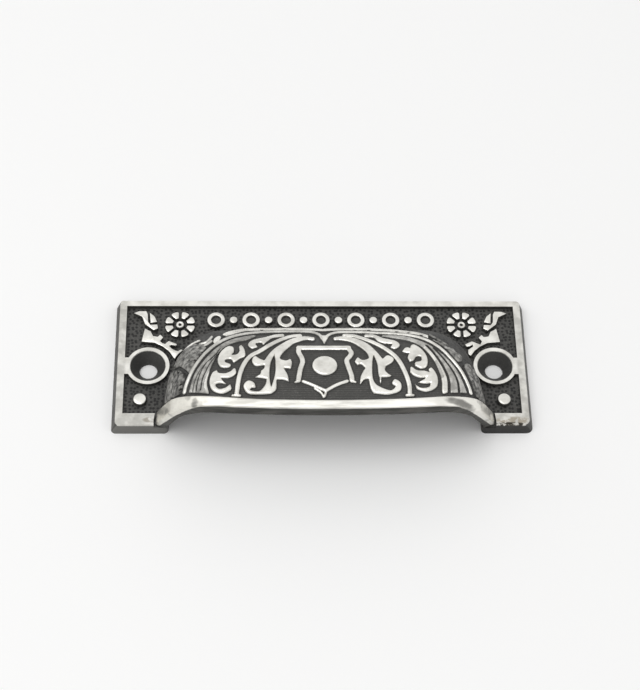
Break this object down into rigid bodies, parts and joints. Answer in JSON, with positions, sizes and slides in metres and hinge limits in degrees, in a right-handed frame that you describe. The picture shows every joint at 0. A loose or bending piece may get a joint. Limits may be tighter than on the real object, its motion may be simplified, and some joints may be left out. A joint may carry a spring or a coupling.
{
  "type": "bin pull",
  "caption": "Cast drawer pull: flat backplate with countersunk screw holes and a carved hood that the fingers reach under.",
  "frame": {"origin": "midway between the two screw holes, on the flat back face that lies against the drawer front", "axes": "+Z away from the drawer front, +X along the backplate through both screw holes, +Y up when fitted; the hood opens towards -Y"},
  "size_m": [0.1066, 0.0447, 0.024],
  "materials": {
    "casting": "cast metal, dark in the hollows and rubbed bright on the raised carving, borders and lip"
  },
  "bodies": {
    "root": {"bin_pull": "casting"}
  },
  "joints": []
}
